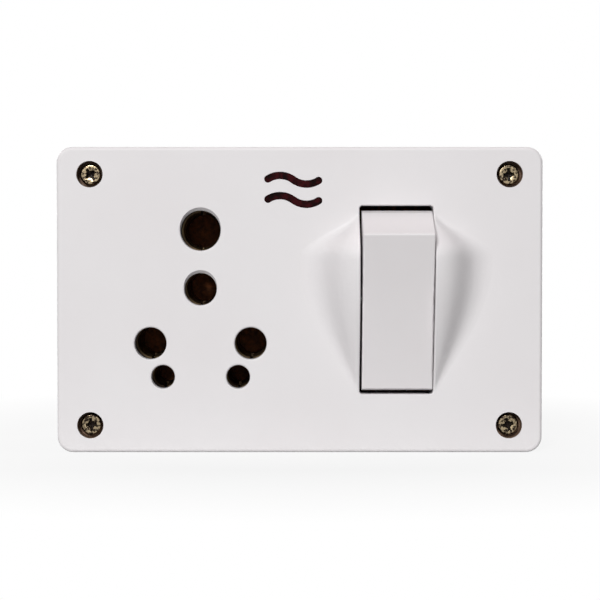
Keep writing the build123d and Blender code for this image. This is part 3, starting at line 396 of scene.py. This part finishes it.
# Zinc plate: bright grey, hardly dulled
zinc_steel = worn_metal("bright_zinc_on_steel", "#B4B6B8", "#8F9193", 2.5, 0.3)
# Blued wire and strip: dark, with a cool edge
spring_steel = worn_metal("blued_spring_steel", "#5F6166", "#3F4146", 2.0, 0.34, (0.2, 1.0, 1.0), 0.3)
# Contact silver: the brightest metal inside, a little yellowed
contact_silver = worn_metal("contact_silver", "#D9D6CE", "#B3AFA6", 1.0, 0.28)
# Tinned copper: soft grey, without the copper's colour
tinned_wire = worn_metal("tinned_copper_wire", "#BDBBB4", "#9A9891", 1.5, 0.36)

# %% Yellow zinc with painted shade and grime in the recess
HEAD_TOP_Y = -41.8 * MM
HEAD_UNDERSIDE_Y = HEAD_TOP_Y + 2.05 * MM
RECESS_SHADE_STARTS, RECESS_SHADE_FULL = 0.45 * MM, 1.25 * MM
PLATING_MM = 1.5

# Yellow zinc: straw on the shank, brown streaks on the head, and near black deep in the recess, as painted
# shade with grime
yellow_zinc = worn_metal("yellow_passivated_zinc", "#98896F", "#241C18", 0.6, 0.22, patch_edge=0.06)
tree, shader, place, clean = reopen_finish(yellow_zinc)
depth = lay(tree, "ShaderNodeSeparateXYZ", {0: place}).outputs["Y"]
shaded_by_depth = lay(tree, "ShaderNodeMapRange", {"Value": depth, "From Min": HEAD_TOP_Y + RECESS_SHADE_STARTS,
                                        "From Max": HEAD_TOP_Y + RECESS_SHADE_FULL})
in_head = lay(tree, "ShaderNodeMath", {0: depth, 1: HEAD_UNDERSIDE_Y}, operation="LESS_THAN")
shaded_by_depth = lay(tree, "ShaderNodeMath", {0: shaded_by_depth.outputs[0], 1: in_head.outputs[0]}, operation="MULTIPLY")
# Painted shade: the recess goes near black with depth, standing in for the shade in it, with grime too
shade_and_grime_colour = lay(tree, "ShaderNodeMix", {0: shaded_by_depth.outputs[0], 6: clean, 7: linear("#1E1613")}, data_type="RGBA")
plating = lay(tree, "ShaderNodeTexNoise", {"Vector": place, "Scale": 1 / (PLATING_MM * MM), "Detail": 2.0})
shank = lay(tree, "ShaderNodeMix", {0: plating.outputs["Fac"], 6: linear("#BCAA7C"), 7: linear("#8E8058")},
            data_type="RGBA")
whole = lay(tree, "ShaderNodeMix", {0: in_head.outputs[0], 6: shank.outputs[2], 7: shade_and_grime_colour.outputs[2]},
            data_type="RGBA")
tree.links.new(whole.outputs[2], shader.inputs["Base Color"])
bare = lay(tree, "ShaderNodeMath", {0: 1.0, 1: shaded_by_depth.outputs[0]}, operation="SUBTRACT")
tree.links.new(bare.outputs[0], shader.inputs["Metallic"])
# This acts on the painted shade and grime alone, which hardly reflects
shader.inputs["Specular IOR Level"].default_value = 0.05
print(yellow_zinc.name, "has painted shade and grime from", RECESS_SHADE_STARTS / MM, "to", RECESS_SHADE_FULL / MM, "mm deep")


# %% [markdown]
# ## Nylon, red lens, lamp glass and resistor
# The plunger is natural nylon, which slides without grease. The lens is dark red acrylic: unlit, it lets so
# little light back that it looks maroon. The neon lamp is clear glass with a trace of dark bloom where its
# electrodes have sputtered, and the resistor is a tan lacquered body with colour bands, drawn by distance
# along its length.

# %% Nylon
FLOW_MM = 1.5

# Natural nylon: milky cream, polished where it rubs
nylon, tree, shader, place = start_finish("natural_nylon")
flow = lay(tree, "ShaderNodeTexNoise", {"Vector": place, "Scale": 1 / (FLOW_MM * MM), "Detail": 2.0})
tint = lay(tree, "ShaderNodeMix", {0: flow.outputs["Fac"], 6: linear("#E9E3D4"), 7: linear("#DDD5C2")},
           data_type="RGBA")
tree.links.new(tint.outputs[2], shader.inputs["Base Color"])
rub = lay(tree, "ShaderNodeMapRange", {"Value": flow.outputs["Fac"], "To Min": 0.36, "To Max": 0.56})
tree.links.new(rub.outputs[0], shader.inputs["Roughness"])
shader.inputs["IOR"].default_value = 1.53
print(nylon.name)

# %% Red lens
MURK_MM = 1.2

# Dark acrylic: maroon to black in soft patches, dulled by dust, so with hardly a reflection
red_acrylic, tree, shader, place = start_finish("dark_red_acrylic")
murk = lay(tree, "ShaderNodeTexNoise", {"Vector": place, "Scale": 1 / (MURK_MM * MM), "Detail": 3.0})
spread = lay(tree, "ShaderNodeMapRange", {"Value": murk.outputs["Fac"], "From Min": 0.38, "From Max": 0.62})
tint = lay(tree, "ShaderNodeMix", {0: spread.outputs[0], 6: linear("#34090D"), 7: linear("#0C0202")},
           data_type="RGBA")
tree.links.new(tint.outputs[2], shader.inputs["Base Color"])
wiped = lay(tree, "ShaderNodeMapRange", {"Value": murk.outputs["Fac"], "To Min": 0.4, "To Max": 0.6})
tree.links.new(wiped.outputs[0], shader.inputs["Roughness"])
shader.inputs["IOR"].default_value = 1.49
shader.inputs["Specular IOR Level"].default_value = 0.03
print(red_acrylic.name)

# %% Lamp glass
BLOOM_MM = 3.0

# Blown glass: clear, with a faint brown veil that also blurs it
lamp_glass, tree, shader, place = start_finish("neon_lamp_glass")
bloom = lay(tree, "ShaderNodeTexNoise", {"Vector": place, "Scale": 1 / (BLOOM_MM * MM), "Detail": 2.0})
tint = lay(tree, "ShaderNodeMix", {0: bloom.outputs["Fac"], 6: linear("#F4F1EC"), 7: linear("#C9BFB4")},
           data_type="RGBA")
tree.links.new(tint.outputs[2], shader.inputs["Base Color"])
smoke = lay(tree, "ShaderNodeMapRange", {"Value": bloom.outputs["Fac"], "To Min": 0.02, "To Max": 0.16})
tree.links.new(smoke.outputs[0], shader.inputs["Roughness"])
shader.inputs["Transmission Weight"].default_value = 0.9
shader.inputs["IOR"].default_value = 1.52
print(lamp_glass.name)

# %% Resistor with its colour bands
BAND_COLOURS = ("#5A3218", "#1A1A1A", "#C9A21E", "#A8862E")
BAND_WIDTH = 0.55 * MM
DIP_MM = 1.2
resistor_low, resistor_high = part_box("lamp_resistor")
band_step = (resistor_high.x - resistor_low.x) / (len(BAND_COLOURS) + 2)

# Dipped lacquer: glossy tan, a little uneven, with four painted rings
lacquer, tree, shader, place = start_finish("tan_resistor_lacquer")
length = lay(tree, "ShaderNodeSeparateXYZ", {0: place}).outputs["X"]
dips = lay(tree, "ShaderNodeTexNoise", {"Vector": place, "Scale": 1 / (DIP_MM * MM), "Detail": 2.0})
colour = lay(tree, "ShaderNodeMix", {0: dips.outputs["Fac"], 6: linear("#C8A878"), 7: linear("#B99767")},
             data_type="RGBA").outputs[2]
for step, band in enumerate(BAND_COLOURS, start=1):
    inside = lay(tree, "ShaderNodeMath", {0: length, 1: resistor_low.x + step * band_step, 2: BAND_WIDTH / 2},
                 operation="COMPARE")
    colour = lay(tree, "ShaderNodeMix", {0: inside.outputs[0], 6: colour, 7: linear(band)},
                 data_type="RGBA").outputs[2]
tree.links.new(colour, shader.inputs["Base Color"])
gloss = lay(tree, "ShaderNodeMapRange", {"Value": dips.outputs["Fac"], "To Min": 0.18, "To Max": 0.34})
tree.links.new(gloss.outputs[0], shader.inputs["Roughness"])
print(lacquer.name, "with", len(BAND_COLOURS), "bands")


# %% [markdown]
# ## Dress the solids
# Each solid keeps its shape and takes the finish of the material that the real piece is made of. The solids
# could be modelled again with more detail, but they already have their rounded edges, so only the screws and
# the spring are made new, further down.

# %% Give each solid its finish
FINISHES = {
    white_cover_urea: ("front_cover",),
    white_urea: ("back_box",),
    white_key_plastic: ("rocker",),
    phenolic: ("mechanism_base",),
    rolled_brass: ("line_contact", "neutral_contact", "earth_contact", "moving_contact", "fixed_contact",
                   "live_terminal", "link_rivet"),
    zinc_steel: ("base_screws", "terminal_screws", "pivot_pin"),
    spring_steel: ("grip_rings", "plunger_spring"),
    contact_silver: ("moving_tip", "fixed_tip"),
    yellow_zinc: ("cover_screws",),
    tinned_wire: ("lamp_leads",),
    nylon: ("plunger",),
    red_acrylic: ("indicator_lens",),
    lamp_glass: ("neon_lamp",),
    lacquer: ("lamp_resistor",),
}
for finish, names in FINISHES.items():
    for name in names:
        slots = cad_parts[name].data.materials
        slots.clear()
        slots.append(finish)
    print(finish.name, "on", ", ".join(names))


# %% [markdown]
# ## Cover screws
# Four pan-head screws with a cross recess hold the cover to the box. The head starts as a short cylinder whose
# top rim is bevelled into a dome. Its underside is inset and extruded into the shank. The recess is cut with
# tapered wings and a cone, as the real punch is shaped, because a flat-bottomed cross looks stamped out of
# card. One screw is modelled along Z and copied, and each copy is turned as a screwdriver happened to leave it.

# %% Screw sizes
HEAD_RADIUS = 2.7 * MM
HEAD_HEIGHT = 2.1 * MM
HEAD_ROUND = 0.5 * MM
HEAD_ROUND_STEPS = 7
HEAD_SIDES = 64
SHANK_RADIUS = 1.5 * MM
SHANK_LENGTH = 22.0 * MM
POINT_LENGTH = 1.2 * MM
POINT_SHRINK = 0.6
print("screw", round((HEAD_HEIGHT + SHANK_LENGTH) / MM, 1), "mm long")


# %% Helpers for selecting and for modifiers
STRAIGHT_DOWN = -0.99


def pick_only(*pieces):
    """Selects these pieces and nothing else, and makes the first of them the active one."""
    bpy.ops.object.select_all(action="DESELECT")
    for piece in pieces:
        piece.select_set(True)
    bpy.context.view_layer.objects.active = pieces[0]


def select_undersides(piece):
    """In edit mode, selects the faces of a piece that look straight down."""
    bpy.ops.mesh.select_mode(type="FACE")
    bpy.ops.mesh.select_all(action="DESELECT")
    bpy.ops.object.mode_set(mode="OBJECT")
    for face in piece.data.polygons:
        face.select = face.normal.z < STRAIGHT_DOWN
    bpy.ops.object.mode_set(mode="EDIT")


def select_edges_above(piece, height):
    """In edit mode, selects the edges of a piece that lie above a height with both ends."""
    bpy.ops.mesh.select_mode(type="EDGE")
    bpy.ops.mesh.select_all(action="DESELECT")
    bpy.ops.object.mode_set(mode="OBJECT")
    for edge in piece.data.edges:
        edge.select = all(piece.data.vertices[end].co.z > height for end in edge.vertices)
    bpy.ops.object.mode_set(mode="EDIT")


def apply_modifiers(piece):
    """Applies every modifier of a piece, in order."""
    pick_only(piece)
    for modifier in list(piece.modifiers):
        bpy.ops.object.modifier_apply(modifier=modifier.name)


# %% Head and shank of one screw
bpy.ops.object.select_all(action="DESELECT")
bpy.ops.mesh.primitive_cylinder_add(vertices=HEAD_SIDES, radius=HEAD_RADIUS, depth=HEAD_HEIGHT,
                                    location=(0.0, 0.0, -HEAD_HEIGHT / 2))
blank = bpy.context.object
blank.name = "screw_blank"
bpy.ops.object.transform_apply(location=True, rotation=False, scale=False)
bpy.ops.object.mode_set(mode="EDIT")
select_edges_above(blank, -HEAD_HEIGHT / 2)
bpy.ops.mesh.bevel(offset=HEAD_ROUND, segments=HEAD_ROUND_STEPS, profile=0.5, affect="EDGES")
select_undersides(blank)
bpy.ops.mesh.inset(thickness=HEAD_RADIUS - SHANK_RADIUS)
bpy.ops.mesh.extrude_region_move(TRANSFORM_OT_translate={"value": (0.0, 0.0, POINT_LENGTH - SHANK_LENGTH)})
bpy.ops.mesh.extrude_region_move(TRANSFORM_OT_translate={"value": (0.0, 0.0, -POINT_LENGTH)})
bpy.ops.transform.resize(value=(POINT_SHRINK, POINT_SHRINK, 1.0))
bpy.ops.object.mode_set(mode="OBJECT")
print("screw blank has", len(blank.data.polygons), "faces")

# %% Punch of the cross recess
RECESS_DEPTH = 1.5 * MM
WING_SPAN = 4.0 * MM
WING_WIDTH = 1.05 * MM
WING_TAPER = (0.42, 0.7, 1.0)
CONE_RADIUS = 0.95 * MM
CONE_TIP_RADIUS = 0.3 * MM
CONE_LENGTH = 2.4 * RECESS_DEPTH
CONE_SIDES = 32

cutters = []
for turn in (0.0, 90.0):
    bpy.ops.object.select_all(action="DESELECT")
    bpy.ops.mesh.primitive_cube_add(size=1.0, scale=(WING_SPAN, WING_WIDTH, 2 * RECESS_DEPTH),
                                    rotation=(0.0, 0.0, math.radians(turn)))
    wing = bpy.context.object
    bpy.ops.object.transform_apply(location=False, rotation=False, scale=True)
    bpy.ops.object.mode_set(mode="EDIT")
    select_undersides(wing)
    bpy.ops.transform.resize(value=WING_TAPER)
    bpy.ops.object.mode_set(mode="OBJECT")
    cutters.append(wing)
# Half of the cone is above the head, so that it has its radius where it meets the top
bpy.ops.object.select_all(action="DESELECT")
bpy.ops.mesh.primitive_cone_add(vertices=CONE_SIDES, radius1=CONE_TIP_RADIUS,
                                radius2=2 * CONE_RADIUS - CONE_TIP_RADIUS, depth=CONE_LENGTH)
cutters.append(bpy.context.object)
print("punch is", len(cutters), "tapered pieces")

# %% Cut the recess and soften its edges
SOFT_EDGE = 0.06 * MM
SOFT_EDGE_ANGLE = math.radians(35)

for cutter in cutters:
    cut = blank.modifiers.new("recess", "BOOLEAN")
    cut.object = cutter
    cut.operation = "DIFFERENCE"
    cut.solver = "EXACT"
soften = blank.modifiers.new("soft_edges", "BEVEL")
soften.width = SOFT_EDGE
soften.segments = 2
soften.limit_method = "ANGLE"
soften.angle_limit = SOFT_EDGE_ANGLE
apply_modifiers(blank)
pick_only(*cutters)
bpy.ops.object.delete()
print("screw has", len(blank.data.polygons), "faces after the cut")

# %% Copy the screw to the four corners
# Each has a side, an end and the degrees that it is turned
SCREW_TURNS = {"top_left": (-1, 1, 35.0), "top_right": (1, 1, 4.0),
               "bottom_left": (-1, -1, 8.0), "bottom_right": (1, -1, 15.0)}
SCREW_SMOOTH_ANGLE = math.radians(32)

for corner, (side, end, turn) in SCREW_TURNS.items():
    pick_only(blank)
    bpy.ops.object.duplicate()
    piece = bpy.context.object
    piece.name = "cover_screw_" + corner
    piece.rotation_euler = (math.radians(90), 0.0, 0.0)
    piece.rotation_euler.rotate_axis("Z", math.radians(turn))
    piece.location = (side * SCREW_X, HEAD_TOP_Y, end * SCREW_Z)
    bpy.ops.object.transform_apply(location=True, rotation=True, scale=True)
    bpy.ops.object.shade_smooth_by_angle(angle=SCREW_SMOOTH_ANGLE)
    piece.data.materials.append(yellow_zinc)
    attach(piece, "housing")
    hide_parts("cover_screws")
    print(piece.name, "turned by", turn, "degrees")
pick_only(blank)
bpy.ops.object.delete()


# %% [markdown]
# ## Plunger spring
# The spring in the rocker's tube is wound from half-millimetre wire, with its last turn at each end closed
# against its neighbour so that it stands square. A Screw modifier winds a small circle into turns. Three
# windings with two pitches, one above the other, make the closed and the open turns, and merging their ends
# makes one wire.

# %% Wind the spring
WIRE_RADIUS = 0.25 * MM
WIRE_SIDES = 14
COIL_RADIUS = 2.05 * MM
SPRING_LENGTH = 4.36 * MM
CLOSED_TURNS = 1
OPEN_TURNS = 3
CLOSED_SLACK = 1.04
STEPS_PER_TURN = 28

closed_pitch = 2 * WIRE_RADIUS * CLOSED_SLACK
open_pitch = (SPRING_LENGTH - 2 * WIRE_RADIUS - 2 * CLOSED_TURNS * closed_pitch) / OPEN_TURNS
windings = []
height = WIRE_RADIUS
for turns, pitch in ((CLOSED_TURNS, closed_pitch), (OPEN_TURNS, open_pitch), (CLOSED_TURNS, closed_pitch)):
    bpy.ops.object.select_all(action="DESELECT")
    bpy.ops.mesh.primitive_circle_add(vertices=WIRE_SIDES, radius=WIRE_RADIUS,
                                      location=(COIL_RADIUS, 0.0, height),
                                      rotation=(math.radians(90), 0.0, 0.0))
    winding = bpy.context.object
    bpy.ops.object.transform_apply(location=True, rotation=True, scale=True)
    turn = winding.modifiers.new("wind", "SCREW")
    turn.axis = "Z"
    turn.angle = math.tau
    turn.screw_offset = pitch
    turn.iterations = turns
    turn.steps = STEPS_PER_TURN
    turn.render_steps = STEPS_PER_TURN
    apply_modifiers(winding)
    windings.append(winding)
    height += turns * pitch
print(len(windings), "windings, open pitch", round(open_pitch / MM, 2), "mm")

# %% Join the windings into one wire
MERGE_DISTANCE = 0.005 * MM

pick_only(*windings)
bpy.ops.object.join()
spring = bpy.context.object
spring.name = "plunger_coil_spring"
bpy.ops.object.mode_set(mode="EDIT")
bpy.ops.mesh.select_all(action="SELECT")
bpy.ops.mesh.remove_doubles(threshold=MERGE_DISTANCE)
bpy.ops.mesh.select_all(action="DESELECT")
bpy.ops.mesh.select_mode(type="EDGE")
bpy.ops.mesh.select_non_manifold()
bpy.ops.mesh.edge_face_add()
bpy.ops.mesh.select_all(action="SELECT")
bpy.ops.mesh.normals_make_consistent(inside=False)
bpy.ops.object.mode_set(mode="OBJECT")
print("spring has", len(spring.data.polygons), "faces")

# %% Set the spring in the rocker's tube
# The tube leans 7 degrees upwards as it goes back from the pivot
PIVOT = Vector((24.5 * MM, -39.0 * MM, 0.0))
TUBE_AXIS = Vector((0.0, 0.992546, 0.121869))
SPRING_START = 3.62 * MM
SPRING_SMOOTH_ANGLE = math.radians(50)

spring.rotation_euler = TUBE_AXIS.to_track_quat("Z", "Y").to_euler()
spring.location = PIVOT + TUBE_AXIS * SPRING_START
pick_only(spring)
bpy.ops.object.transform_apply(location=True, rotation=True, scale=True)
bpy.ops.object.shade_smooth_by_angle(angle=SPRING_SMOOTH_ANGLE)
spring.data.materials.append(spring_steel)
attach(spring, "rocker")
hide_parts("plunger_spring")
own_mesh(spring)
print("spring set in the tube")
